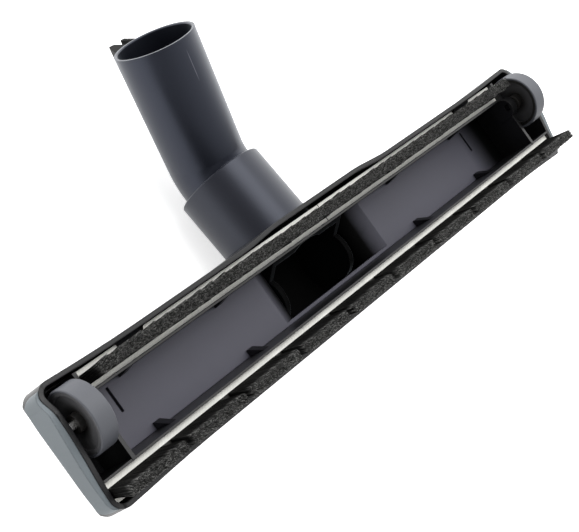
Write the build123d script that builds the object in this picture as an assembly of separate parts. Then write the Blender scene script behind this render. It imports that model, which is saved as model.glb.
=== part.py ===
from build123d import *
import os
from math import asin, cos, degrees, pi, radians, sin, sqrt

os.makedirs("parts", exist_ok=True)

# The head lies on its back: the sole faces up, the crown of the housing rests on z = 0.
# x runs along the head, y points to the rear where the neck leaves. Depth is measured down
# from the lip of the sole. "near" is the -x end. All sizes are in millimetres.

# Housing
half_length = 149.7
front_y = -22.8
rear_y = 22.9
end_flare = 1.4
flare_length = 44.7
rear_bulge = 1.4
bulge_half = 24.0
bulge_start = 48.0
corner_r = 5.0
wall = 1.8
deck_depth = 21.8
end_depth = 8.5
end_round = 14.5
end_wave = [(-20.0, 1.7), (-3.0, -0.9), (12.6, -2.6), (21.5, 0.1)]
wave_slope = 0.16
corner_fall = 12.7
cutter_margin = 10.0
saddle_half = 12.0
boss_half = 3.4
boss_depth = 0.8

# Hump over the knuckle
hinge_y = 0.8
hinge_depth = 36.6
hump_clear = 1.8
hump_round = 0.6
hump_half = 30.0
hump_foot = 64.0

# Neck
neck_down = 7.25
tilt_range = 55.0
drum_over_collar = 1.2
drum_half = 23.0
drum_wall = 2.4
disc_r = 11.0
disc_wall = 2.5
window_from = 58.0
window_to = 205.0
collar_wall = 2.5
collar_lift = 1.8
collar_reach = 53.0
slot_gap = 0.4
slot_spare = 3.0
rim_chamfer = 0.4
trunnion_r = 5.0
trunnion_end = 28.0
running_gap = 0.05

# Swivel tube
tube_base_r = 16.6
tube_swell = 0.8
tube_wall = 1.9
spigot_clear = 0.7
bend_r = 22.0
bend_angle = 34.6
tube_straight = 51.8
bend_inset = 0.9
socket_wall = 1.45
socket_depth = 28.0
lead_in = 0.4
swivel_turn = 13.6
spigot_depth = 20.0
spigot_land = 3.0
ring_from_rim = 11.0
ring_width = 2.6
ring_in = 1.1
ring_out = 0.6
ring_play = 0.3
mouth_land_from = 3.0
mouth_land_to = 6.0
ring_split = 50.0

# Sole: channel, brush rails and wheel bays
strip_width = 7.8
strip_depth = 3.0
strip_thick = 3.0
rail_floor = 1.5
rail_top = 1.0
channel_depth = 18.5
front_wall_y = -12.3
rear_wall_y = 12.2
rail_wall = 0.9
wall_draft = 1.1
plate_thick = 1.5
fit_gap = 0.1
end_bay = 16.5
partition_thick = 1.6
partition_top = 0.8
duct_mouth = 34.6
duct_throat = 24.0
duct_margin = 1.4
slide_land = 2.0
skirt_depth = 24.0
duct_depth = 28.0
slot_set_in = 16.6
slot_width = 1.2
slot_from = 0.8
slot_to = 10.8
hook_width = 3.0
hook_top = 8.0
hook_bottom = 18.4
hook_reach = 2.8
rear_hook_reach = 1.2
hook_x = 57.3
hook_spacing = 51.2
drum_clear = 0.2
tab_set_in = 42.2
tab_length = 12.0

# Wheels
wheel_r = 12.5
wheel_width = 7.7
wheel_set_in = 4.4
wheel_y = 7.46
wheel_depth = 0.0
tyre_thick = 1.1
hub_r = 3.4
web_thick = 1.6
axle_r = 1.5
fork_r = 4.6
fork_depth = 2.1
fork_foot = 9.0
fork_inner = 0.6
fork_outer = 2.0
bay_wall = 1.5
tyre_step = 0.5
tyre_round = 0.5
rim_thick = 1.2
rim_step = 0.4
face_drop = 0.7
face_dish = 1.9

# Brushes
bristle_root = 4.4
rear_rise = 10.0
front_rise = 10.3
rear_lean = 0.2
front_lean = 1.9
front_tuft_y = -17.1
front_tuft_half = 1.9
rear_tuft_y = 16.95
rear_tuft_half = 2.2
tuft_pitch = 30.0
tuft_gap = 4.4
tuft_count = 10

# End bumpers
bumper_height = 10.5
bumper_proud = 1.6
bumper_crown = 1.1
bumper_half = 22.6
bumper_corner = 5.5
bumper_wrap = 1.9
bumper_round = 3.6
bumper_foot_r = 4.5
bumper_drop = 0.3

# Bearing caps and screws
cap_half = 10.0
cap_rise = 6.5
cap_from = 24.2
cap_to = 27.9
cap_round = 3.0
screw_y = 7.4
screw_r = 1.1
screw_head_r = 2.0
screw_head = 1.4
screw_length = 12.0

# Parking hook
hook_length = 10.0
hook_set_back = 0.2
hook_pad = 0.7
ear_in = 2.8
ear_out = 5.2
ear_base = 10.4
ear_height = 10.2
ear_tip = 0.8
bar_in = 0.9
bar_thick = 1.9
bar_height = 10.1

# Values that follow from those above
flare_start = half_length - flare_length
corner_fall_x = half_length - corner_fall
partition_x = half_length - end_bay
slot_x = partition_x - slot_set_in
tab_x = half_length - tab_set_in
wheel_face_x = half_length - wheel_set_in
tyre_bed_r = wheel_r - tyre_thick
tube_mouth_r = tube_base_r + tube_swell
tube_bore = tube_base_r - tube_wall
socket_r = tube_mouth_r - socket_wall
collar_bore = tube_base_r + spigot_clear
collar_r = collar_bore + collar_wall
ring_inner_r = tube_base_r - ring_in
ring_outer_r = collar_bore + ring_out
drum_r = collar_r + drum_over_collar
hump_reach = drum_r + hump_clear + wall
hump_r = hump_reach + hump_round
lip_z = hinge_depth + hump_reach
hinge_z = lip_z - hinge_depth
collar_clear_depth = hinge_depth - drum_r - drum_clear
front_strip_y = front_wall_y - rail_wall - strip_width / 2
rear_strip_y = rear_wall_y + rail_wall + strip_width / 2
front_strip_half = half_length - wall - 2 * fit_gap
rear_strip_half = partition_x - 2 * fit_gap
strip_floor = strip_depth + strip_thick
plate_back = channel_depth + plate_thick
neck_dir = Vector(0, cos(radians(neck_down)), -sin(radians(neck_down)))
wheel_z = lip_z - wheel_depth
near, far = -1, 1


def at_depth(depth):
    return lip_z - depth


def block(x0, x1, y0, y1, depth0, depth1):
    """A block between two x, two y and two depths, in any order."""
    size = (abs(x1 - x0), abs(y1 - y0), abs(depth1 - depth0))
    mid = ((x0 + x1) / 2, (y0 + y1) / 2, at_depth((depth0 + depth1) / 2))
    return Pos(*mid) * Box(*size)


def bar(points, x0, x1):
    """A (y, depth) outline drawn along x from x0 to x1."""
    corners = [(min(x0, x1), y, at_depth(depth)) for y, depth in points]
    return extrude(make_face(Polyline(*corners, close=True)), amount=abs(x1 - x0), dir=(1, 0, 0))


def rod_x(radius, x0, x1, y, z):
    return Pos((x0 + x1) / 2, y, z) * Rot(0, 90, 0) * Cylinder(radius, abs(x1 - x0))


def rod(radius, plane, start, end):
    """A rod on a plane's own axis, from one height over the plane to another."""
    return plane * Pos(0, 0, (start + end) / 2) * Cylinder(radius, abs(end - start))


def sector(plane, from_deg, to_deg, reach):
    """A pie slice of a plane, as a face."""
    steps = 12
    turn = (to_deg - from_deg) / steps
    angles = [radians(from_deg + turn * i) for i in range(steps + 1)]
    rim = [(reach * cos(a), reach * sin(a)) for a in angles]
    return plane * make_face(Polyline((0, 0), *rim, close=True))


def plan_side(side, inset):
    """Half of the housing's plan: flanks that flare at the end and swell behind the neck."""
    end_x = side * (half_length - inset)
    flare_x = side * flare_start
    front = front_y + inset
    rear = rear_y - inset
    swell = rear + rear_bulge
    return [
        Line((0, swell), (side * bulge_half, swell)),
        Spline((side * bulge_half, swell), (side * bulge_start, rear), tangents=[(side, 0), (side, 0)]),
        Line((side * bulge_start, rear), (flare_x, rear)),
        Spline((flare_x, rear), (end_x, rear + end_flare), tangents=[(side, 0), (side, 0.05)]),
        Line((end_x, rear + end_flare), (end_x, front - end_flare)),
        Spline((end_x, front - end_flare), (flare_x, front), tangents=[(-side, 0.05), (-side, 0)]),
        Line((flare_x, front), (0, front)),
    ]


def plan_outline(inset):
    plan = make_face(plan_side(near, inset) + plan_side(far, inset))
    end_x = half_length - inset
    ends = [v for v in plan.vertices() if abs(abs(v.X) - end_x) < 0.01]
    return fillet(ends, corner_r - inset)


def side_half(side, inset, top):
    """Half of the lengthwise outline: a rounded end, the deck and the bell of the hump."""
    end_x = half_length - inset
    deck_x = end_x - end_round
    deck = at_depth(deck_depth - inset)
    crown_x = hump_half - inset
    return [
        Line((0, at_depth(top)), (side * end_x, at_depth(top))),
        Line((side * end_x, at_depth(top)), (side * end_x, at_depth(end_depth))),
        Spline((side * end_x, at_depth(end_depth)), (side * deck_x, deck), tangents=[(0, -1), (-side, 0)]),
        Line((side * deck_x, deck), (side * hump_foot, deck)),
        Spline((side * hump_foot, deck), (side * crown_x, inset), tangents=[(-side, 0), (-side * 0.1, -1)]),
        Line((side * crown_x, inset), (0, inset)),
    ]


def side_outline(inset, top):
    return Plane.XZ * make_face(side_half(near, inset, top) + side_half(far, inset, top))


def cross_outline(inset, top):
    """Section across the hump: round about the hinge, with a flat land on the crown."""
    radius = hump_r - inset
    land = sqrt(radius**2 - (hump_reach - inset) ** 2)
    left = hinge_y - radius
    right = hinge_y + radius
    edges = [
        Line((left, at_depth(top)), (left, hinge_z)),
        RadiusArc((left, hinge_z), (hinge_y - land, inset), -radius),
        Line((hinge_y - land, inset), (hinge_y + land, inset)),
        RadiusArc((hinge_y + land, inset), (right, hinge_z), -radius),
        Line((right, hinge_z), (right, at_depth(top))),
        Line((right, at_depth(top)), (left, at_depth(top))),
    ]
    return Plane.YZ * make_face(edges)


def housing_body(inset, top):
    """What the plan, the lengthwise outline and the section across the hump have in common."""
    plan = Pos(0, 0, inset) * extrude(plan_outline(inset), amount=at_depth(top) - inset)
    side = extrude(side_outline(inset, top), amount=2 * hump_r, both=True)
    across = extrude(cross_outline(inset, top), amount=2 * half_length, both=True)
    return plan & side & across


def lip_wave(lift):
    """Everything over the wavy lip of an end, as one long cutter."""
    points = [(y, at_depth(depth) + lift) for y, depth in end_wave]
    reach = half_length + cutter_margin
    high = lip_z + cutter_margin
    far_y = rear_y + cutter_margin
    start = (-far_y, points[0][1])
    end = (far_y, points[-1][1])
    edges = [
        Line(start, points[0]),
        Spline(*points, tangents=[(1, 0), (1, wave_slope), (1, 0), (1, 0)]),
        Line(points[-1], end),
        Line(end, (far_y, high)),
        Line((far_y, high), (-far_y, high)),
        Line((-far_y, high), start),
    ]
    return extrude(Plane.YZ * make_face(edges), amount=reach, both=True)


def lip_cutter():
    """What is taken off the top of the raw shell: level flanks, falling corners, wavy ends."""
    end_zone = half_length - wall - bay_wall
    far_y = rear_y + 2 * cutter_margin
    level = block(-end_zone, end_zone, -far_y, far_y, 0, -cutter_margin)
    middle = block(-end_zone, end_zone, -far_y, far_y, cutter_margin, -2 * cutter_margin)
    cutter = level + (lip_wave(0.0) - middle)
    for side in (near, far):
        points = [
            (side * corner_fall_x, lip_z),
            (side * (half_length + 1), at_depth(end_wave[0][1])),
            (side * (half_length + 1), lip_z + 1),
            (side * corner_fall_x, lip_z + 1),
        ]
        wedge = extrude(Plane.XZ * make_face(Polyline(*points, close=True)), amount=2 * cutter_margin)
        cutter += Pos(0, end_wave[0][0] + 1.2, 0) * wedge
    return cutter


def neck_slot():
    """Room for the collar over its whole tilt: a round-topped notch, open down to the crown."""
    notch_r = collar_r + slot_gap
    notch = rod(notch_r, collar_plane, 0, 2 * collar_reach)
    spread = degrees(asin((notch_r - collar_lift) / (hump_reach - wall)))
    lowest = neck_down + tilt_range + spread + slot_spare
    far_out = 3 * hump_r
    corners = [
        (hinge_y, collar_plane.origin.Z),
        (hinge_y + far_out * neck_dir.Y, collar_plane.origin.Z + far_out * neck_dir.Z),
        (hinge_y + far_out, -far_out),
        (hinge_y + far_out * cos(radians(lowest)), hinge_z - far_out * sin(radians(lowest))),
        (hinge_y, hinge_z),
    ]
    sweep = extrude(Plane.YZ * make_face(Polyline(*corners, close=True)), amount=notch_r, both=True)
    return notch + sweep


def screw_spots():
    """Where the cap screws stand, as (x, y)."""
    x = (cap_from + cap_to) / 2
    return [(side * x, hinge_y + across * screw_y) for side in (near, far) for across in (-1, 1)]


def top_shell():
    """Housing with hump, neck slot, saddles for the trunnions and bearings for the axles."""
    outer = housing_body(0.0, -4.0)
    inner = housing_body(wall, -8.0)
    body = outer - inner
    for side in (near, far):
        saddle = block(side * cap_from, side * hump_foot, hinge_y - saddle_half,
                       hinge_y + saddle_half, hinge_depth, lip_z)
        body += saddle & outer
        boss = block(side * (half_length - wall - bay_wall), side * half_length,
                     wheel_y - boss_half, wheel_y + boss_half, boss_depth, end_depth)
        body += boss & outer
    body -= lip_cutter()
    body -= neck_slot()
    body -= rod_x(trunnion_r + running_gap, -trunnion_end, trunnion_end, hinge_y, hinge_z)
    for side in (near, far):
        body -= rod_x(axle_r + running_gap, side * wheel_face_x, side * (half_length - wall / 2), wheel_y, wheel_z)
        catch_y = rear_y - wall
        catch = [(catch_y + 0.4, 0.6), (catch_y, 0.8), (catch_y - 1.7, 2.2), (catch_y - 1.7, strip_depth),
                 (catch_y + 0.4, strip_depth)]
        body += bar(catch, side * (tab_x - tab_length / 2), side * (tab_x + tab_length / 2))
    for x, y in screw_spots():
        body -= Pos(x, y, hinge_z) * Cylinder(screw_r, 2 * (screw_length - cap_rise) + 1)
    return body


def sole_frame():
    """Two brush rails with the channel walls, two cross walls, axle forks and snap hooks."""
    rail_end = half_length - wall - fit_gap
    cross_end = partition_x + partition_thick
    front_in = front_wall_y + wall_draft
    front_out = front_wall_y - rail_wall
    front_edge = front_y + wall + fit_gap
    rear_edge = rear_y - wall - fit_gap
    rear_out = rear_wall_y + rail_wall
    floor_back = strip_floor + rail_floor
    front_rail = [(front_out, rail_top), (front_wall_y, rail_top), (front_in, channel_depth),
                  (front_in, plate_back), (front_out, plate_back), (front_out, floor_back),
                  (front_edge, floor_back), (front_edge, strip_floor), (front_out, strip_floor)]
    rear_rail = [(rear_out, rail_top), (rear_wall_y, rail_top), (rear_wall_y, plate_back),
                 (rear_out, plate_back), (rear_out, floor_back), (rear_edge, floor_back),
                 (rear_edge, strip_floor), (rear_out, strip_floor)]
    body = bar(front_rail, -rail_end, rail_end) + bar(rear_rail, -cross_end, cross_end)
    for side in (near, far):
        body += block(side * partition_x, side * cross_end, front_out, rear_edge, partition_top, plate_back)
        fork_from = side * (partition_x - fork_inner)
        fork_to = side * (cross_end + fork_outer)
        body += rod_x(fork_r, fork_from, fork_to, wheel_y, at_depth(fork_depth))
        body += block(fork_from, fork_to, wheel_y - fork_r, wheel_y + fork_r, fork_depth, fork_foot)
    for x in (-hook_x - hook_spacing, -hook_x, hook_x, hook_x + hook_spacing):
        front_hook = [(front_wall_y, hook_top), (front_in + hook_reach, hook_bottom - 0.8),
                      (front_in + hook_reach, hook_bottom), (front_in - 0.2, hook_bottom)]
        rear_hook = [(rear_wall_y + 0.2, hook_top), (rear_wall_y - rear_hook_reach, hook_bottom - 1.2),
                     (rear_wall_y - rear_hook_reach, hook_bottom), (rear_wall_y + 0.2, hook_bottom)]
        body += bar(front_hook, x - hook_width / 2, x + hook_width / 2)
        body += bar(rear_hook, x - hook_width / 2, x + hook_width / 2)
    body -= block(-drum_half - 1, drum_half + 1, rear_wall_y - 1, rear_edge, collar_clear_depth, lip_z)
    body -= rod_x(axle_r + running_gap, -half_length, half_length, wheel_y, wheel_z)
    return body & housing_body(wall + fit_gap, -8.0)


def duct_plate():
    """Ceiling of the suction channel, with the two slides that lead down to the knuckle."""
    front = front_wall_y + wall_draft + fit_gap
    rear = rear_wall_y - fit_gap
    mouth_front = front + duct_margin
    plate = block(-partition_x + fit_gap, partition_x - fit_gap, front, rear, channel_depth, plate_back)
    plate -= block(-duct_mouth, duct_mouth, mouth_front, rear + 1, channel_depth - 1, plate_back + 1)
    for side in (near, far):
        plate -= block(side * (slot_x - slot_width / 2), side * (slot_x + slot_width / 2),
                       slot_from, slot_to, channel_depth - 1, plate_back + 1)
        top_x = duct_mouth + slide_land
        outline = [
            (side * top_x, at_depth(channel_depth)),
            (side * duct_mouth, at_depth(channel_depth)),
            (side * duct_throat, at_depth(duct_depth)),
            (side * (duct_throat + plate_thick), at_depth(duct_depth)),
        ]
        edges = [
            Line(outline[0], outline[1]),
            Spline(outline[1], outline[2], tangents=[(-side, -0.7), (-side * 0.25, -1)]),
            Line(outline[2], outline[3]),
            Spline(outline[3], outline[0], tangents=[(side * 0.25, 1), (side, 0.7)]),
        ]
        slide = extrude(Plane.XZ * make_face(edges), amount=-(rear - front))
        plate += Pos(0, front, 0) * slide
    skirt = block(-duct_throat - 1, duct_throat + 1, front, mouth_front, channel_depth, skirt_depth)
    return plate + skirt


def bumper(side):
    """Soft end cap: a crowned band round the end of the housing, following its wavy lip."""
    shell_x = half_length
    outer_x = half_length + bumper_proud
    turn_y = bumper_half - bumper_corner
    edges = [
        ThreePointArc((side * outer_x, -turn_y), (side * (outer_x + bumper_crown), 0), (side * outer_x, turn_y)),
        Spline((side * outer_x, turn_y), (side * (shell_x - bumper_wrap), bumper_half),
               tangents=[(side * 0.05, 1), (-side, 0.1)]),
        Line((side * (shell_x - bumper_wrap), bumper_half), (side * (shell_x - bumper_wrap), -bumper_half)),
        Spline((side * (shell_x - bumper_wrap), -bumper_half), (side * outer_x, -turn_y),
               tangents=[(side, 0.1), (-side * 0.05, 1)]),
    ]
    band = extrude(make_face(edges), amount=2 * lip_z)
    foot = at_depth(bumper_height)
    front_x = outer_x + bumper_crown
    back_x = shell_x - 2 * bumper_wrap
    profile = [
        Line((side * back_x, foot), (side * (front_x - bumper_round), foot)),
        Spline((side * (front_x - bumper_round), foot), (side * front_x, foot + bumper_round),
               tangents=[(side, 0), (0, 1)]),
        Line((side * front_x, foot + bumper_round), (side * front_x, lip_z + 5)),
        Line((side * front_x, lip_z + 5), (side * back_x, lip_z + 5)),
        Line((side * back_x, lip_z + 5), (side * back_x, foot)),
    ]
    band &= extrude(Plane.XZ * make_face(profile), amount=2 * bumper_half, both=True)
    end_view = make_face(Polyline((-bumper_half, foot), (bumper_half, foot), (bumper_half, 2 * lip_z),
                                  (-bumper_half, 2 * lip_z), close=True))
    low_corners = end_view.vertices().filter_by(lambda v: v.Y < foot + 1)
    end_view = fillet(low_corners, bumper_foot_r)
    band &= extrude(Plane.YZ * end_view, amount=2 * half_length, both=True)
    keep_off = extrude(plan_outline(0.0), amount=2 * lip_z)
    return band - keep_off - lip_wave(-bumper_drop)


def tufts(half, gap_centres):
    """Bristle blocks as (x0, x1) spans along one strip."""
    edges = [-half]
    for x in gap_centres:
        edges += [x - tuft_gap / 2, x + tuft_gap / 2]
    edges.append(half)
    return [(edges[i], edges[i + 1]) for i in range(0, len(edges), 2)]


def tuft_outline(strip_y, half_width, rise, lean):
    """Section of a bristle block: rooted in the strip, standing proud of the lip."""
    return [(strip_y - half_width, bristle_root), (strip_y + half_width, bristle_root),
            (strip_y + half_width + lean, -rise), (strip_y - half_width + lean, -rise)]


def front_bristles():
    gaps = [tuft_pitch * i for i in range(-(tuft_count // 2 - 1), tuft_count // 2)]
    outline = tuft_outline(front_tuft_y, front_tuft_half, front_rise, -front_lean)
    return [bar(outline, a, b) for a, b in tufts(front_strip_half - 0.5, gaps)]


def rear_bristles():
    outline = tuft_outline(rear_tuft_y, rear_tuft_half, rear_rise, rear_lean)
    return bar(outline, -rear_strip_half + 0.5, rear_strip_half - 0.5)


def brush_base(strip_y, half, bristle_solids):
    """Strip that holds the bristles, with a groove for every block of them."""
    half_width = strip_width / 2 - fit_gap
    base = block(-half, half, strip_y - half_width, strip_y + half_width, strip_depth, strip_floor)
    for solid in bristle_solids:
        base -= solid
    return base & housing_body(wall + fit_gap, 0.0)


def wheel_spot(side):
    """Axle frame of a wheel: z points outward along the axle, the middle of the wheel at 0."""
    x = side * (wheel_face_x - wheel_width / 2)
    return Plane(origin=(x, wheel_y, wheel_z), x_dir=(0, 1, 0), z_dir=(side, 0, 0))


def spun(outline):
    """A (radius, height) outline turned round the z axis."""
    return revolve(Plane.XZ * make_face(Polyline(*outline, close=True)), Axis.Z)


def tyre(side):
    """Soft tread with a lip on both edges, so a groove shows between tread and hub."""
    h = wheel_width / 2
    ring = spun([(tyre_bed_r, -h + tyre_step), (tyre_bed_r + tyre_step, -h + tyre_step),
                 (tyre_bed_r + tyre_step, -h), (wheel_r, -h), (wheel_r, h), (tyre_bed_r + tyre_step, h),
                 (tyre_bed_r + tyre_step, h - tyre_step), (tyre_bed_r, h - tyre_step)])
    edges = [e for e in ring.edges() if abs(e.length - 2 * pi * wheel_r) < 0.1]
    return wheel_spot(side) * fillet(edges, tyre_round)


def hub(side):
    """Dished wheel body with a bored boss."""
    h = wheel_width / 2
    rim_h = h - tyre_step
    bore_r = axle_r + running_gap
    inner_r = tyre_bed_r - rim_thick
    face = rim_h - face_dish
    outline = [(bore_r, -h), (hub_r, -h), (hub_r, face - web_thick), (inner_r, face - web_thick),
               (inner_r, -rim_h), (tyre_bed_r, -rim_h), (tyre_bed_r, rim_h),
               (inner_r, rim_h), (inner_r - rim_step, rim_h - face_drop),
               (hub_r, face), (hub_r, h), (bore_r, h)]
    return wheel_spot(side) * spun(outline)


def axle(side):
    x0 = side * (partition_x - fork_inner)
    x1 = side * (half_length - wall / 2 - fit_gap)
    pin = rod_x(axle_r, x0, x1, wheel_y, wheel_z)
    return chamfer(pin.edges().filter_by(GeomType.CIRCLE), 0.3)


def neck_knuckle():
    """Open drum on two trunnions, run out into the round collar for the swivel tube."""
    inner_half = drum_half - disc_wall
    drum = rod_x(drum_r, -drum_half, drum_half, hinge_y, hinge_z)
    collar = rod(collar_r, collar_plane, 0, collar_reach)
    body = drum + collar
    body -= rod_x(drum_r - drum_wall, -inner_half, inner_half, hinge_y, hinge_z)
    window = extrude(sector(hinge_plane, window_from, window_to, 2 * drum_r), amount=drum_half + 1, both=True)
    body -= window
    for side in (near, far):
        body += rod_x(disc_r, side * inner_half, side * drum_half, hinge_y, hinge_z)
        body += rod_x(trunnion_r, side * inner_half, side * (trunnion_end - fit_gap), hinge_y, hinge_z)
    body -= rod(collar_bore, collar_plane, 0, collar_reach + 1)
    ring_mid = collar_reach - ring_from_rim
    groove = ring_width / 2 + fit_gap
    body -= rod(ring_outer_r + ring_play, collar_plane, ring_mid - groove, ring_mid + groove)
    rim = collar_plane.origin + neck_dir * collar_reach
    mouth = [e for e in body.edges().filter_by(GeomType.CIRCLE)
             if (e.arc_center - rim).length < 0.1]
    return chamfer(mouth, rim_chamfer)


def bearing_cap(side):
    """Half bearing over a trunnion, held by two screws."""
    x0 = side * cap_from
    x1 = side * cap_to
    cap = block(x0, x1, hinge_y - cap_half, hinge_y + cap_half, hinge_depth - cap_rise, hinge_depth)
    corners = [e for e in cap.edges().filter_by(Axis.X) if e.center().Z > hinge_z + 1]
    cap = fillet(corners, cap_round)
    cap -= rod_x(trunnion_r + running_gap, -half_length, half_length, hinge_y, hinge_z)
    for x, y in screw_spots():
        cap -= Pos(x, y, hinge_z) * Cylinder(screw_r + running_gap, 4 * cap_rise)
    return cap


def cap_screw(x, y):
    """Pan head screw with a cross recess."""
    seat = hinge_z + cap_rise
    head = Pos(x, y, seat + screw_head / 2) * Cylinder(screw_head_r, screw_head)
    top = [e for e in head.edges() if e.center().Z > seat + screw_head / 2]
    head = fillet(top, screw_head / 2)
    shank = Pos(x, y, seat - screw_length / 2) * Cylinder(screw_r, screw_length)
    body = head + shank
    for turn in (0, 90):
        body -= Pos(x, y, seat + screw_head) * Rot(0, 0, turn) * Box(2.0, 0.5, 1.2)
    return body


def tube_frames():
    """Frames along the swivel tube: at the collar's rim, at the end of the bend, at the mouth."""
    side_dir = Vector(-1, 0, 0)
    up_dir = side_dir.cross(neck_dir)
    if up_dir.Z < 0:
        up_dir = -up_dir
    lean = up_dir * cos(radians(swivel_turn)) + side_dir * sin(radians(swivel_turn))
    rim = Plane(origin=collar_plane.origin + neck_dir * collar_reach, x_dir=lean, z_dir=neck_dir)
    angle = radians(bend_angle)
    along = rim.z_dir * cos(angle) + rim.x_dir * sin(angle)
    down = rim.z_dir * sin(angle) - rim.x_dir * cos(angle)
    end = rim.origin + rim.x_dir * (bend_r * (1 - cos(angle))) + rim.z_dir * (bend_r * sin(angle) - bend_inset)
    bend_end = Plane(origin=end, x_dir=down, z_dir=along)
    mouth = Plane(origin=end + along * tube_straight, x_dir=down, z_dir=along)
    return rim, bend_end, mouth


def elbow(radius):
    """The bent stretch of the swivel tube, as a solid round bar."""
    disc = Pos(0, 0, -bend_inset) * make_face(Circle(radius).edges())
    turn = Axis((bend_r, 0, -bend_inset), (0, 1, 0))
    return rim_frame * revolve(disc, turn, revolution_arc=bend_angle)


def tube_outer():
    base = rod(tube_base_r, rim_frame, -spigot_depth, -bend_inset)
    straight = bend_frame * Cone(tube_base_r, tube_mouth_r, tube_straight, align=(Align.CENTER, Align.CENTER, Align.MIN))
    return base + elbow(tube_base_r) + straight


def swivel_tube():
    """Elbow whose spigot turns in the collar and whose far end takes the wand."""
    body = tube_outer()
    body += rod(collar_bore - running_gap, rim_frame, -spigot_depth, -spigot_depth + spigot_land)
    body += rod(collar_bore - running_gap, rim_frame, -mouth_land_to, -mouth_land_from)
    ring_z = -ring_from_rim
    half = ring_width / 2 + fit_gap
    groove = rod(tube_base_r + 2, rim_frame, ring_z - half, ring_z + half)
    groove -= rod(ring_inner_r - ring_play, rim_frame, ring_z - 2 * half, ring_z + 2 * half)
    body -= groove
    bore = rod(tube_bore, rim_frame, -spigot_depth - 1, -bend_inset)
    bore += elbow(tube_bore)
    bore += rod(tube_bore, bend_frame, 0, tube_straight + 1)
    body -= bore
    body -= rod(socket_r, mouth_frame, -socket_depth, 1)
    lead = Cone(socket_r, socket_r + 2 * lead_in, 2 * lead_in)
    body -= mouth_frame * lead
    return body


def swivel_ring():
    """Split ring that locks the spigot in the collar."""
    ring_z = -ring_from_rim
    half = ring_width / 2
    ring = rod(ring_outer_r, rim_frame, ring_z - half, ring_z + half)
    ring -= rod(ring_inner_r, rim_frame, ring_z - 2 * half, ring_z + 2 * half)
    opening = sector(Plane.XY, -ring_split / 2, ring_split / 2, 2 * ring_outer_r)
    split = extrude(opening, amount=ring_width, both=True)
    return ring - rim_frame * Pos(0, 0, ring_z) * split


def park_hook():
    """Hook for parking the wand: a thin saddle under the tube with a pointed ear and a bar."""
    half_angle = degrees(asin(ear_base / tube_mouth_r))
    pad_r = tube_mouth_r + hook_pad
    pad = extrude(sector(Plane.XY, -half_angle, half_angle, pad_r), amount=-hook_length)
    ear_top = tube_mouth_r + ear_height
    bar_top = tube_mouth_r + bar_height
    ear = [(tube_bore, ear_in), (ear_top - ear_tip, ear_in), (ear_top, ear_in + ear_tip),
           (ear_top, ear_out), (pad_r * cos(radians(half_angle)), ear_base), (tube_bore, ear_base)]
    straight = [(tube_bore, -bar_in), (bar_top, -bar_in), (bar_top, -bar_in - bar_thick),
                (tube_bore, -bar_in - bar_thick)]
    body = pad
    for outline in (ear, straight):
        prong = extrude(make_face(Polyline(*outline, close=True)), amount=-hook_length)
        body += prong
    return mouth_frame * Pos(0, 0, -hook_set_back) * body - tube_outer()


collar_plane = Plane(origin=(0, hinge_y, hinge_z + collar_lift), x_dir=(1, 0, 0), z_dir=neck_dir)
hinge_plane = Plane(origin=(0, hinge_y, hinge_z), x_dir=(0, 1, 0), z_dir=(1, 0, 0))
rim_frame, bend_frame, mouth_frame = tube_frames()

front_solids = front_bristles()
rear_solid = rear_bristles()
pieces = {
    "top_shell": top_shell(),
    "sole_frame": sole_frame(),
    "duct_plate": duct_plate(),
    "bumper_near": bumper(near),
    "bumper_far": bumper(far),
    "brush_base_front": brush_base(front_strip_y, front_strip_half, front_solids),
    "brush_base_rear": brush_base(rear_strip_y, rear_strip_half, [rear_solid]),
    "bristles_front": Compound(children=front_solids),
    "bristles_rear": rear_solid,
    "near_tyre": tyre(near),
    "near_hub": hub(near),
    "near_axle": axle(near),
    "far_tyre": tyre(far),
    "far_hub": hub(far),
    "far_axle": axle(far),
    "neck_knuckle": neck_knuckle(),
    "bearing_cap_near": bearing_cap(near),
    "bearing_cap_far": bearing_cap(far),
    "cap_screws": Compound(children=[cap_screw(x, y) for x, y in screw_spots()]),
    "swivel_tube": swivel_tube(),
    "swivel_ring": swivel_ring(),
    "park_hook": park_hook(),
}

# The origin sits on the table, under the middle of the whole head and neck.
boxes = [piece.bounding_box() for piece in pieces.values()]
mid_y = (min(b.min.Y for b in boxes) + max(b.max.Y for b in boxes)) / 2
for name, piece in pieces.items():
    export_step(Pos(0, -mid_y, 0) * piece, f"parts/{name}.step")
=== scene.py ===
import math
import random

import bmesh
import bpy
from mathutils import Matrix, Vector


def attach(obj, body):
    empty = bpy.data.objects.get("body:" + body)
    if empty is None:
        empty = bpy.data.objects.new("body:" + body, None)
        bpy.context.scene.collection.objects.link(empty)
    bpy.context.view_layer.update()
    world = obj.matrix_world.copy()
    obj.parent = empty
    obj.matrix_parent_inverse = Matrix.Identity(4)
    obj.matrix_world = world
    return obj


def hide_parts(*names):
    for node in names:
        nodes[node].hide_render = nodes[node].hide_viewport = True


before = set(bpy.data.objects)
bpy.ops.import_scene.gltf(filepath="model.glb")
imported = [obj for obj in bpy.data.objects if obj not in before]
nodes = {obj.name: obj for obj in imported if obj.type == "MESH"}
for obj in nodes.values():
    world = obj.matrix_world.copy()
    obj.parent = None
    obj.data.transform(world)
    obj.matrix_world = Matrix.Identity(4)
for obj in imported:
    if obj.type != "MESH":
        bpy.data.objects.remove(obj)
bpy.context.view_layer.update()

# Level of the lip, and the middle of the head from front to rear
LIP_Z = 0.0612
CENTRE_Y = -0.0499657

rng = random.Random(7)


# Node helpers

NODES_A_ROW = 12
NODE_WIDTH = 220
NODE_HEIGHT = 240
MIX_INPUTS = (0, 6, 7)
MIX_COLOR_OUTPUT = 2


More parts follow.
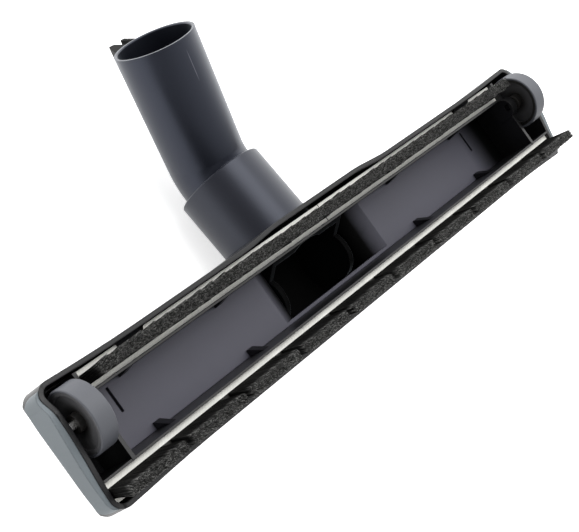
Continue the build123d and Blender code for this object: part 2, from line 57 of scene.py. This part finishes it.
class Tree:
    """A node tree with short calls for adding and joining nodes."""

    def __init__(self, tree):
        self.tree = tree
        self.count = 0

    def add(self, kind, inputs=None, **settings):
        """A new node in the next place of the layout, with its settings and inputs."""
        node = self.tree.nodes.new(kind)
        row, column = divmod(self.count, NODES_A_ROW)
        node.location = (-NODE_WIDTH * column, -NODE_HEIGHT * row)
        self.count += 1
        for key, value in settings.items():
            setattr(node, key, value)
        for key, value in (inputs or {}).items():
            self.feed(node.inputs[key], value)
        return node

    def feed(self, socket, value):
        """Join another node's output to a socket, or set a plain value on it."""
        if isinstance(value, bpy.types.NodeSocket):
            self.tree.links.new(value, socket)
        else:
            socket.default_value = value

    def math(self, operation, a, b=0.0, clamp=False):
        """One step of arithmetic, such as ADD or ABSOLUTE."""
        node = self.add("ShaderNodeMath", {0: a, 1: b}, operation=operation, use_clamp=clamp)
        return node.outputs[0]

    def measure(self, operation, a, b):
        """A vector operation that gives one number, such as DISTANCE or DOT_PRODUCT."""
        node = self.add("ShaderNodeVectorMath", {0: a, 1: b}, operation=operation)
        return node.outputs["Value"]

    def axes(self, vector):
        """The x, y and z of a vector."""
        node = self.add("ShaderNodeSeparateXYZ", {0: vector})
        return node.outputs["X"], node.outputs["Y"], node.outputs["Z"]

    def remap(self, value, from_min, from_max, to_min=0.0, to_max=1.0):
        """A value moved from one range to another, and held inside the second."""
        node = self.add("ShaderNodeMapRange", {"Value": value, "From Min": from_min, "From Max": from_max,
                                               "To Min": to_min, "To Max": to_max})
        return node.outputs["Result"]

    def mix(self, factor, a, b):
        """Colour a where the factor is 0, and colour b where it is 1."""
        node = self.add("ShaderNodeMix", data_type="RGBA")
        for index, value in zip(MIX_INPUTS, (factor, a, b)):
            self.feed(node.inputs[index], value)
        return node.outputs[MIX_COLOR_OUTPUT]

    def surface(self, inputs):
        """The material's own shader, joined to its output."""
        shader = self.add("ShaderNodeBsdfPrincipled", inputs)
        self.add("ShaderNodeOutputMaterial", {"Surface": shader.outputs[0]})


def emptied(owner):
    """The node tree of a new material or world, with nothing in it yet."""
    owner.use_nodes = True
    owner.node_tree.nodes.clear()
    return Tree(owner.node_tree)


def group(name, inputs, outputs):
    """A node group with named inputs and outputs, as (tree helper, inputs node, outputs node)."""
    tree = bpy.data.node_groups.new(name, "ShaderNodeTree")
    for label, kind, value in inputs:
        socket = tree.interface.new_socket(label, in_out="INPUT", socket_type=kind)
        if value is not None:
            socket.default_value = value
    for label, kind in outputs:
        tree.interface.new_socket(label, in_out="OUTPUT", socket_type=kind)
    helper = Tree(tree)
    source = helper.add("NodeGroupInput")
    sink = helper.add("NodeGroupOutput")
    return helper, source, sink


# Moulded plastics and rubber

GRAIN_SCALE = 1800.0
CLOUD_SCALE = 45.0
CLOUD_MIDDLE = 0.5
CLOUD_TONE = 2.0
GRAIN_DEPTH = 0.00006
SHEEN_ROUGHNESS = 0.3
SHEEN_TINT = (0.8, 0.88, 0.95, 1)


def moulded_group():
    """Fine moulding texture: slight tone and gloss changes, soft clouds and a shallow grain."""
    t, source, sink = group(
        "moulded_skin",
        [("Coordinates", "NodeSocketVector", None), ("Color", "NodeSocketColor", (0.1, 0.1, 0.1, 1)),
         ("Roughness", "NodeSocketFloat", 0.4), ("Grain", "NodeSocketFloat", 0.2),
         ("Clouds", "NodeSocketFloat", 0.1)],
        [("Color", "NodeSocketColor"), ("Roughness", "NodeSocketFloat"), ("Height", "NodeSocketFloat")])
    where = source.outputs["Coordinates"]
    grain = t.add("ShaderNodeTexNoise", {"Vector": where, "Scale": GRAIN_SCALE, "Detail": 3.0}).outputs[0]
    clouds = t.add("ShaderNodeTexNoise", {"Vector": where, "Scale": CLOUD_SCALE, "Detail": 4.0}).outputs[0]
    cloud_shift = t.math("MULTIPLY", t.math("SUBTRACT", clouds, CLOUD_MIDDLE), source.outputs["Clouds"])
    bright = t.math("ADD", 1.0, t.math("MULTIPLY", cloud_shift, CLOUD_TONE))
    color = t.add("ShaderNodeVectorMath", {0: source.outputs["Color"], "Scale": bright}, operation="SCALE")
    rough = t.math("ADD", source.outputs["Roughness"], cloud_shift, clamp=True)
    height = t.math("MULTIPLY", grain, source.outputs["Grain"])
    for label, value in (("Color", color.outputs[0]), ("Roughness", rough), ("Height", height)):
        t.feed(sink.inputs[label], value)
    return t.tree


MOULDED = moulded_group()


def plastic(name, color, roughness, grain=0.25, clouds=0.08, edge=0.0003, specular=0.5, sheen=0.0,
            tint=(1, 1, 1), marks_and_shade=None):
    """A moulded plastic or rubber: textured skin, with edges that catch the light.

    The function given for marks and painted shade takes (t, where, color, roughness) and gives the colour,
    the roughness and how far painted shade takes the gloss.
    """
    material = bpy.data.materials.new(name)
    t = emptied(material)
    where = t.add("ShaderNodeTexCoord").outputs["Object"]
    skin = t.add("ShaderNodeGroup", {"Coordinates": where, "Color": (*color, 1), "Roughness": roughness,
                                     "Grain": grain, "Clouds": clouds}, node_tree=MOULDED)
    rounded = t.add("ShaderNodeBevel", {"Radius": edge}, samples=4)
    normal = t.add("ShaderNodeBump", {"Strength": 1.0, "Distance": GRAIN_DEPTH,
                                      "Height": skin.outputs["Height"], "Normal": rounded.outputs[0]})
    base, rough, painted_shade = skin.outputs["Color"], skin.outputs["Roughness"], 0.0
    if marks_and_shade:
        base, rough, painted_shade = marks_and_shade(t, where, base, rough)
    # Metallic follows the painted shade, so the shaded places lose their gloss too
    t.surface({"Base Color": base, "Roughness": rough, "Metallic": painted_shade, "Normal": normal.outputs[0],
               "Specular IOR Level": specular, "Specular Tint": (*tint, 1),
               "Sheen Weight": sheen, "Sheen Roughness": SHEEN_ROUGHNESS, "Sheen Tint": SHEEN_TINT})
    return material


# Marks and painted shade on the pale strips, with y measured from the middle of the head

HATCH_SCALE = 260.0
HATCH_TURN = math.radians(35)
HATCH_STRENGTH = 0.15
HATCH_SHADE = (0.62, 0.62, 0.57, 1)
TUFT_SHADE_Y = -0.01535
BARE_END_X = -0.1405
BARE_END_Y = -0.0185
SEAM_HALF = 0.00022
SEAM_AND_SHADE_BLACK = (0.008, 0.008, 0.006, 1)


def strip_marks_and_shade(t, where, color, roughness):
    """A fine slanting hatch, painted shade under the front tufts and a dark seam in the rear strip."""
    turned = t.add("ShaderNodeMapping", {"Vector": where, "Rotation": (0, 0, HATCH_TURN)})
    hatch = t.add("ShaderNodeTexWave", {"Vector": turned.outputs[0], "Scale": HATCH_SCALE,
                                        "Distortion": 1.5, "Detail": 1.0, "Detail Scale": 3.0})
    amount = t.remap(hatch.outputs["Fac"], 0.0, 1.0, 0.0, HATCH_STRENGTH)
    pale = t.mix(amount, color, HATCH_SHADE)
    x, y, _ = t.axes(where)
    # Painted shade on the front strip under the roots of the tufts, except at its bare end
    under_front_tufts = t.math("LESS_THAN", y, CENTRE_Y + TUFT_SHADE_Y)
    bare_end = t.math("MULTIPLY", t.math("LESS_THAN", x, BARE_END_X),
                      t.math("LESS_THAN", y, CENTRE_Y + BARE_END_Y))
    tuft_shade = t.math("SUBTRACT", under_front_tufts, bare_end, clamp=True)
    seam = t.math("MULTIPLY", t.math("LESS_THAN", t.math("ABSOLUTE", x), SEAM_HALF),
                  t.math("GREATER_THAN", y, CENTRE_Y))
    return t.mix(t.math("MAXIMUM", tuft_shade, seam), pale, SEAM_AND_SHADE_BLACK), roughness, 0.0


# Painted shade in the suction channel and inside the hump: depths are below the lip, y is from the middle
# of the head

# Painted shade: the slides go black with depth below the lip, and the plate goes black towards the far
# cross wall
UNSHADED_DEPTH = 0.0187
FULL_SHADE_DEPTH = 0.0225
END_SHADE_FROM_X = 0.112
END_SHADE_TO_X = 0.127
CHANNEL_PAINTED_SHADE = (0.006, 0.006, 0.006, 1)
# Painted shade inside the hump, from the first y (full) to the second (none)
KNUCKLE_PAINTED_SHADE = (0.012, 0.012, 0.012, 1)
KNUCKLE_FULL_SHADE_Y = 0.0235
KNUCKLE_UNSHADED_Y = 0.0250
KNUCKLE_DULLED = 0.5


def duct_painted_shade(t, where, color, roughness):
    """Painted shade blackens the slides down to the knuckle, and the plate before the far cross wall."""
    x, _, z = t.axes(where)
    unshaded = t.remap(z, LIP_Z - FULL_SHADE_DEPTH, LIP_Z - UNSHADED_DEPTH)
    unshaded = t.math("MULTIPLY", unshaded, t.remap(x, END_SHADE_FROM_X, END_SHADE_TO_X, 1.0, 0.0))
    painted_shade = t.math("SUBTRACT", 1.0, unshaded)
    return t.mix(painted_shade, color, CHANNEL_PAINTED_SHADE), roughness, painted_shade


# Two specks on the collar

COLLAR_SPECKS = [(-0.0198, -0.0029, 0.0200), (-0.0198, -0.0111, 0.0202)]
SPECK_R = 0.0003
SPECK_FADE_R = 0.0006
SPECK_BLACK = (0.002, 0.002, 0.002, 1)


def knuckle_shade_and_specks(t, where, color, roughness):
    """Painted shade and a duller gloss inside the hump, with two dark specks on the collar."""
    _, y, _ = t.axes(where)
    outside = t.remap(y, CENTRE_Y + KNUCKLE_FULL_SHADE_Y, CENTRE_Y + KNUCKLE_UNSHADED_Y)
    painted_shade = t.math("SUBTRACT", 1.0, outside)
    tint = t.mix(painted_shade, color, KNUCKLE_PAINTED_SHADE)
    rough = t.math("ADD", roughness, t.math("MULTIPLY", painted_shade, KNUCKLE_DULLED), clamp=True)
    for speck in COLLAR_SPECKS:
        off = t.measure("DISTANCE", where, speck)
        tint = t.mix(t.remap(off, SPECK_R, SPECK_FADE_R), SPECK_BLACK, tint)
    return tint, rough, painted_shade


# The scratch on the tube, placed from the middle of its mouth, along and across the tube

MOUTH = (-0.007831, 0.061293, 0.04498)
TUBE_ALONG = (-0.1335, 0.8862, 0.4436)
TUBE_DOWN = (0.1935, 0.4624, -0.8653)
TUBE_ACROSS = (-0.9719, -0.0297, -0.2332)
SCRATCH_ACROSS = -0.00187
SCRATCH_ALONG = -0.0115
SCRATCH_STRENGTH = 0.55
SCRATCH_PALE = (0.16, 0.16, 0.19, 1)

# Half its width and half its length: where it is full, and where it has faded out
SCRATCH_HALF_WIDTH = (0.00006, 0.00022)
SCRATCH_HALF_LENGTH = (0.0035, 0.0070)


def tube_marks(t, where, color, roughness):
    """One faint pale scratch on the upper side, near the mouth."""
    from_mouth = t.add("ShaderNodeVectorMath", {0: where, 1: MOUTH}, operation="SUBTRACT").outputs[0]
    length, across, down = [t.measure("DOT_PRODUCT", from_mouth, way)
                            for way in (TUBE_ALONG, TUBE_ACROSS, TUBE_DOWN)]
    off_line = t.math("ABSOLUTE", t.math("SUBTRACT", across, SCRATCH_ACROSS))
    off_middle = t.math("ABSOLUTE", t.math("SUBTRACT", length, SCRATCH_ALONG))
    scratch = t.math("MULTIPLY", t.remap(off_line, *SCRATCH_HALF_WIDTH, 1.0, 0.0),
                     t.remap(off_middle, *SCRATCH_HALF_LENGTH, 1.0, 0.0))
    scratch = t.math("MULTIPLY", scratch, t.math("LESS_THAN", down, 0.0))
    return t.mix(t.math("MULTIPLY", scratch, SCRATCH_STRENGTH), color, SCRATCH_PALE), roughness, 0.0


# Wheels and axles

WHEEL_MIDDLE_X = 0.1405
WHEEL_Y = 0.00746
# Painted shade round the axle boss and on the inner face of each wheel
BOSS_R = 0.0036
BOSS_FADE_R = 0.0068
BOSS_PAINTED_SHADE = (0.008, 0.007, 0.006, 1)
# Painted shade on the part of each axle inside the channel
AXLE_FULL_SHADE_X = 0.1338
AXLE_UNSHADED_X = 0.1342
AXLE_PAINTED_SHADE = (0.02, 0.02, 0.02, 1)
AXLE_STEEL = (0.85, 0.84, 0.82, 1)
AXLE_LINES_SCALE = (4000.0, 300.0, 300.0)
AXLE_LINES_DEPTH = 0.00002
AXLE_ROUGHNESS = (0.18, 0.34)


def wheel_painted_shade(t, where, color, roughness):
    """Painted shade: the boss round the axle is near black, and so is the face that is turned to the
    channel.
    """
    x, y, z = t.axes(where)
    rise = t.math("SUBTRACT", z, LIP_Z)
    reach = t.math("SUBTRACT", y, CENTRE_Y + WHEEL_Y)
    squares = t.math("ADD", t.math("MULTIPLY", rise, rise), t.math("MULTIPLY", reach, reach))
    radius = t.math("SQRT", squares)
    unshaded = t.math("MULTIPLY", t.remap(radius, BOSS_R, BOSS_FADE_R),
                   t.math("GREATER_THAN", t.math("ABSOLUTE", x), WHEEL_MIDDLE_X))
    return t.mix(unshaded, BOSS_PAINTED_SHADE, color), roughness, 0.0


def steel_material():
    """Drawn steel with fine lines round the pin, with painted shade where it ends inside the channel."""
    material = bpy.data.materials.new("pin_steel")
    t = emptied(material)
    where = t.add("ShaderNodeTexCoord").outputs["Object"]
    stretched = t.add("ShaderNodeMapping", {"Vector": where, "Scale": AXLE_LINES_SCALE})
    lines = t.add("ShaderNodeTexNoise", {"Vector": stretched.outputs[0], "Scale": 1.0, "Detail": 2.0})
    rough = t.remap(lines.outputs[0], 0.3, 0.7, *AXLE_ROUGHNESS)
    outward = t.math("ABSOLUTE", t.axes(where)[0])
    tint = t.mix(t.remap(outward, AXLE_FULL_SHADE_X, AXLE_UNSHADED_X), AXLE_PAINTED_SHADE, AXLE_STEEL)
    normal = t.add("ShaderNodeBump", {"Strength": 0.4, "Distance": AXLE_LINES_DEPTH,
                                      "Height": lines.outputs[0]})
    t.surface({"Base Color": tint, "Metallic": 1.0, "Roughness": rough, "Normal": normal.outputs[0]})
    return material


# Bristle fibres, with painted shade down in the tufts: heights are above the lip

FULL_SHADE_RISE = 0.0070
NO_SHADE_RISE = 0.0098
FIBRE_DARK_AND_SHADE = (0.002, 0.002, 0.0018, 1)
FIBRE_TIP = (0.30, 0.30, 0.29, 1)
FIBRE_SPECKS_SCALE = 1100.0
FIBRE_SPECKS_DEPTH = 0.00003
FIBRE_SPECKS_LIGHT = (0.5, 1.4)
FIBRE_ROUGHNESS = (0.55, 0.8)
FIBRE_SPECULAR = 0.2
DEEP_SHADE_LEVEL = 0.06


def fibre_material():
    """Dark synthetic fibres, with painted shade that makes them near black down in the tuft; speckled at
    the cut tips.
    """
    material = bpy.data.materials.new("bristle_fibre")
    t = emptied(material)
    tone = t.add("ShaderNodeAttribute", attribute_name="tone").outputs["Fac"]
    where = t.add("ShaderNodeTexCoord").outputs["Object"]
    specks = t.add("ShaderNodeTexNoise", {"Vector": where, "Scale": FIBRE_SPECKS_SCALE, "Detail": 2.0})
    speck = specks.outputs[0]
    height = t.axes(where)[2]
    # Painted shade: the colour darkens from the tips down into the tuft
    tip = t.remap(height, LIP_Z + FULL_SHADE_RISE, LIP_Z + NO_SHADE_RISE, DEEP_SHADE_LEVEL, 1.0)
    light = t.remap(speck, 0.35, 0.65, *FIBRE_SPECKS_LIGHT)
    level = t.math("MULTIPLY", t.math("MULTIPLY", tone, tip), light)
    color = t.mix(level, FIBRE_DARK_AND_SHADE, FIBRE_TIP)
    rough = t.remap(speck, 0.0, 1.0, *FIBRE_ROUGHNESS)
    normal = t.add("ShaderNodeBump", {"Strength": 0.5, "Distance": FIBRE_SPECKS_DEPTH, "Height": speck})
    t.surface({"Base Color": color, "Roughness": rough, "Normal": normal.outputs[0],
               "Specular IOR Level": FIBRE_SPECULAR})
    return material


MATERIALS = {
    "housing": plastic("housing_black", (0.011, 0.011, 0.012), 0.36, edge=0.0006, specular=0.35),
    "inner": plastic("inner_black", (0.004, 0.004, 0.004), 0.6, specular=0.15),
    "sole": plastic("sole_black", (0.004, 0.004, 0.0045), 0.36),
    "duct": plastic("duct_grey", (0.085, 0.084, 0.108), 0.5, clouds=0.14, edge=0.0005, specular=0.3,
                    marks_and_shade=duct_painted_shade),
    "bumper": plastic("bumper_rubber", (0.132, 0.154, 0.168), 0.55, grain=0.4, clouds=0.1, edge=0.0006),
    "tread": plastic("tread_rubber", (0.079, 0.083, 0.096), 0.55, grain=0.3, clouds=0.12),
    "wheel": plastic("wheel_grey", (0.068, 0.068, 0.072), 0.5, marks_and_shade=wheel_painted_shade),
    "neck": plastic("neck_plastic", (0.007, 0.007, 0.011), 0.36, edge=0.0004, specular=0.55, sheen=0.35,
                    tint=(0.80, 0.85, 1.0), marks_and_shade=knuckle_shade_and_specks),
    "tube": plastic("tube_plastic", (0.003, 0.0035, 0.006), 0.36, edge=0.0004, specular=0.6, sheen=0.35,
                    tint=(0.72, 0.78, 1.0), marks_and_shade=tube_marks),
    "ring": plastic("ring_white", (0.55, 0.55, 0.52), 0.45),
    "hook": plastic("hook_black", (0.004, 0.004, 0.004), 0.5, specular=0.02),
    "strip": plastic("strip_pale", (0.95, 0.94, 0.88), 0.5, clouds=0.04, edge=0.0002, marks_and_shade=strip_marks_and_shade),
    "steel": steel_material(),
    "fibre": fibre_material(),
}

WEARS = {
    "top_shell": "housing", "sole_frame": "sole", "duct_plate": "duct",
    "bumper_near": "bumper", "bumper_far": "bumper",
    "brush_base_front": "strip", "brush_base_rear": "strip",
    "bristles_front": "fibre", "bristles_rear": "fibre",
    "near_tyre": "tread", "far_tyre": "tread", "near_hub": "wheel", "far_hub": "wheel",
    "near_axle": "steel", "far_axle": "steel", "neck_knuckle": "neck",
    "bearing_cap_near": "inner", "bearing_cap_far": "inner", "cap_screws": "inner",
    "swivel_tube": "tube", "swivel_ring": "ring", "park_hook": "hook",
}

for name, key in WEARS.items():
    mesh = nodes[name].data
    mesh.materials.clear()
    mesh.materials.append(MATERIALS[key])


def object_from(bm, name, material):
    """A new object in the scene with the shape in bm, which is freed."""
    mesh = bpy.data.meshes.new(name)
    bm.to_mesh(mesh)
    bm.free()
    mesh.materials.append(material)
    obj = bpy.data.objects.new(name, mesh)
    bpy.context.scene.collection.objects.link(obj)
    return obj


# Housing: each cut is the way it faces at the corner and how deep it goes

CORNER_CUTS = [
    (Vector((0.405, 0.836, -0.369)), 0.0020),
    (Vector((0.58, 0.65, -0.50)), 0.0023),
    (Vector((0.75, 0.40, -0.53)), 0.0011),
]
SAME_POINT = 1e-6
ON_PLANE = 1e-7
SHARP_ANGLE = math.radians(20)


def ease_corner(bm, side_x, side_y):
    """Three oblique cuts round one low end corner, each closed again."""
    ways = [(way * Vector((side_x, side_y, 1))).normalized() for way, _ in CORNER_CUTS]
    tips = [max(vert.co.dot(way) for vert in bm.verts) for way in ways]
    for way, tip, (_, depth) in zip(ways, tips, CORNER_CUTS):
        cut = bmesh.ops.bisect_plane(bm, geom=bm.verts[:] + bm.edges[:] + bm.faces[:], dist=ON_PLANE,
                                     plane_co=way * (tip - depth), plane_no=way, clear_outer=True)
        rim = [piece for piece in cut["geom_cut"] if isinstance(piece, bmesh.types.BMEdge)]
        bmesh.ops.holes_fill(bm, edges=rim, sides=0)


def eased_housing():
    """The housing as built, with its four low end corners eased."""
    bm = bmesh.new()
    bm.from_mesh(nodes["top_shell"].data)
    bmesh.ops.remove_doubles(bm, verts=bm.verts, dist=SAME_POINT)
    for side_x in (-1, 1):
        for side_y in (-1, 1):
            ease_corner(bm, side_x, side_y)
    obj = object_from(bm, "eased_housing", MATERIALS["housing"])
    obj.data.shade_smooth()
    obj.data.set_sharp_from_angle(angle=SHARP_ANGLE)
    weighted = obj.modifiers.new("even_shading", "WEIGHTED_NORMAL")
    weighted.keep_sharp = True
    return obj


housing = eased_housing()
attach(housing, "head")
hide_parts("top_shell")


# Bristles: a line across a row is its middle y and its half width, y from the middle of the head

TUFTS = 10
TUFT_PITCH = 0.03
HALF_TUFT_GAP = 0.0022
FRONT_HALF = 0.1472
REAR_HALF = 0.1325
FRONT_ROOTS = (-0.0171, 0.0018)
FRONT_TIPS = (-0.01925, 0.00185)
REAR_ROOTS = (0.01695, 0.0020)
REAR_TIPS = (0.01715, 0.00205)
ROOT_DEPTH = 0.0040
CLUMP_FIBRES = 60
CLUMP_TONE = (0.75, 1.0)
FIBRE_R = (0.00010, 0.00016)
FIBRE_TAPER = 0.85
TIP_SCATTER_X = 0.00025
TIP_SCATTER_Y = 0.00012
TIP_SHORTFALL = 0.0007
LEAST_TONE = 0.08
TONE_POWER = 2.2
FAN_POWER = 5

# Two waves along the edge of a row: radians in a metre of x, and where each starts
DRIFT_WAVES = ((1900, 0.0), (830, 1.0))


def fibre(bm, layer, root, tip, radius, tone):
    """One thin three-sided cone that stands between two points."""
    line = tip - root
    place = Matrix.Translation((root + tip) / 2) @ line.to_track_quat("Z", "X").to_matrix().to_4x4()
    made = bmesh.ops.create_cone(bm, cap_ends=True, segments=3, radius1=radius,
                                 radius2=radius * FIBRE_TAPER, depth=line.length, matrix=place)
    for vert in made["verts"]:
        vert[layer] = tone


def clump(span, from_x, to_x, roots, tips, rise, wander, fan):
    """The fibres between from_x and to_x of a span. They fan out at its ends."""
    part = bmesh.new()
    layer = part.verts.layers.float.new("tone")
    a, b = span
    root_middle, root_half = roots
    tip_middle, tip_half = tips
    drift = wander * sum(math.sin(from_x * wave + shift) for wave, shift in DRIFT_WAVES)
    clump_tone = rng.uniform(*CLUMP_TONE)
    for _ in range(CLUMP_FIBRES):
        x = rng.uniform(from_x, to_x)
        v = rng.uniform(-1, 1)
        root_y = root_middle + v * root_half
        tip_y = tip_middle + v * tip_half
        across = 2 * (x - a) / (b - a) - 1
        splay = fan * across ** FAN_POWER
        root = Vector((x, CENTRE_Y + root_y, LIP_Z - ROOT_DEPTH))
        tip = Vector((x + splay + rng.gauss(0, TIP_SCATTER_X),
                      CENTRE_Y + tip_y + drift + rng.gauss(0, TIP_SCATTER_Y),
                      LIP_Z + rise + rng.uniform(-TIP_SHORTFALL, 0.0)))
        tone = clump_tone * (LEAST_TONE + (1 - LEAST_TONE) * rng.random() ** TONE_POWER)
        fibre(part, layer, root, tip, rng.uniform(*FIBRE_R), tone)
    mesh = bpy.data.meshes.new("clump")
    part.to_mesh(mesh)
    part.free()
    return mesh


def brush(name, spans, roots, tips, rise, count, wander, fan):
    """Fibres in small clumps between spans of x. The edge of the row wanders a little."""
    whole = bmesh.new()
    whole.verts.layers.float.new("tone")
    total = sum(b - a for a, b in spans)
    for a, b in spans:
        clumps = max(1, round(count * (b - a) / total / CLUMP_FIBRES))
        for i in range(clumps):
            from_x = a + (b - a) * i / clumps
            to_x = a + (b - a) * (i + 1) / clumps
            mesh = clump((a, b), from_x, to_x, roots, tips, rise, wander, fan)
            whole.from_mesh(mesh)
            bpy.data.meshes.remove(mesh)
    return object_from(whole, name, MATERIALS["fibre"])


def front_tufts():
    """Spans of x of the front tufts, with a gap at each step of the pitch from the middle."""
    cuts = [-FRONT_HALF]
    for step in range(1 - TUFTS // 2, TUFTS // 2):
        cuts += [TUFT_PITCH * step - HALF_TUFT_GAP, TUFT_PITCH * step + HALF_TUFT_GAP]
    cuts.append(FRONT_HALF)
    return list(zip(cuts[::2], cuts[1::2]))


front = brush("front_bristle_fibres", front_tufts(), FRONT_ROOTS, FRONT_TIPS,
              rise=0.0103, count=21000, wander=0.00005, fan=0.0006)
rear = brush("rear_bristle_fibres", [(-REAR_HALF, REAR_HALF)], REAR_ROOTS, REAR_TIPS,
             rise=0.0100, count=23000, wander=0.00022, fan=-0.0010)
for obj, node in ((front, "bristles_front"), (rear, "bristles_rear")):
    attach(obj, "head")
    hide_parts(node)


# Stage: pale floor, soft light, camera

FLOOR_HALF = 4.0
FLOOR_GLOW = 0.65
HORIZON_LIGHT = 2.4
ZENITH_LIGHT = 1.35
DIM_PATCH = (-0.75, 0.03, 0.66)
PATCH_LIGHT = 0.2
FRONT_LIGHT = 0.45
HEAD_MIDDLE = Vector((0, CENTRE_Y, 0.04))
CAMERA_PLACE = Vector((-0.3404, 0.0133 + CENTRE_Y, 0.4109))
CAMERA_RIGHT = Vector((0.6065, -0.5814, 0.5423))
CAMERA_UP = Vector((0.4431, 0.8135, 0.3766))
CAMERA_LENS = 77.37
CAMERA_SENSOR = 36.0
CAMERA_NEAR = 0.01

# Where the tent's light changes: by closeness to the patch's middle, and from the front to the rear
PATCH_EDGE = (0.5, 0.97)
FRONT_EDGE = (-0.9, 0.1)


def build_floor():
    """A white floor that takes the object's shadow. It shows lighter to the eye and in gloss."""
    material = bpy.data.materials.new("floor_white")
    t = emptied(material)
    shader = t.add("ShaderNodeBsdfPrincipled", {"Base Color": (0.9, 0.9, 0.9, 1), "Roughness": 0.9,
                                                "Specular IOR Level": 0.0})
    glow = t.add("ShaderNodeEmission", {"Color": (1, 1, 1, 1), "Strength": FLOOR_GLOW})
    ray = t.add("ShaderNodeLightPath")
    seen = t.math("MAXIMUM", ray.outputs["Is Camera Ray"], ray.outputs["Is Glossy Ray"])
    both = t.add("ShaderNodeAddShader", {0: shader.outputs[0], 1: glow.outputs[0]})
    chosen = t.add("ShaderNodeMixShader", {0: seen, 1: shader.outputs[0], 2: both.outputs[0]})
    t.add("ShaderNodeOutputMaterial", {"Surface": chosen.outputs[0]})
    bm = bmesh.new()
    bmesh.ops.create_grid(bm, x_segments=1, y_segments=1, size=FLOOR_HALF)
    object_from(bm, "floor", material)


def area_light(name, place, side, power):
    """A square lamp that faces the middle of the head."""
    data = bpy.data.lights.new(name, "AREA")
    data.shape = "SQUARE"
    data.size = side
    data.energy = power
    obj = bpy.data.objects.new(name, data)
    bpy.context.scene.collection.objects.link(obj)
    obj.location = place
    obj.rotation_euler = (HEAD_MIDDLE - Vector(place)).to_track_quat("-Z", "Y").to_euler()


def build_world():
    """A tent of soft light with a dim patch high on one side and a dim front, seen as plain white."""
    world = bpy.data.worlds.new("studio")
    bpy.context.scene.world = world
    t = emptied(world)
    way = t.add("ShaderNodeTexCoord").outputs["Generated"]
    _, depth, rise = t.axes(way)
    level = t.remap(rise, 0.0, 1.0, HORIZON_LIGHT, ZENITH_LIGHT)
    patch = t.measure("DOT_PRODUCT", way, DIM_PATCH)
    level = t.math("MULTIPLY", level, t.remap(patch, *PATCH_EDGE, 1.0, PATCH_LIGHT))
    level = t.math("MULTIPLY", level, t.remap(depth, *FRONT_EDGE, FRONT_LIGHT, 1.0))
    seen = t.add("ShaderNodeLightPath").outputs["Is Camera Ray"]
    shown = t.math("MAXIMUM", level, seen)
    back = t.add("ShaderNodeBackground", {"Color": (1, 1, 1, 1), "Strength": shown})
    t.add("ShaderNodeOutputWorld", {"Surface": back.outputs[0]})


def build_camera():
    """The camera of the photograph."""
    back = CAMERA_RIGHT.cross(CAMERA_UP).normalized()
    up = back.cross(CAMERA_RIGHT).normalized()
    data = bpy.data.cameras.new("camera")
    data.lens = CAMERA_LENS
    data.sensor_width = CAMERA_SENSOR
    data.clip_start = CAMERA_NEAR
    obj = bpy.data.objects.new("camera", data)
    bpy.context.scene.collection.objects.link(obj)
    turn = Matrix((CAMERA_RIGHT, up, back)).transposed().to_4x4()
    obj.matrix_world = Matrix.Translation(CAMERA_PLACE) @ turn
    bpy.context.scene.camera = obj


build_floor()
build_world()
area_light("side", place=(0.9, 0.35, 0.95), side=1.6, power=2.5)
area_light("above", place=(0.15, 0.35, 1.35), side=0.9, power=7.0)
build_camera()

scene = bpy.context.scene
scene.view_settings.view_transform = "Standard"
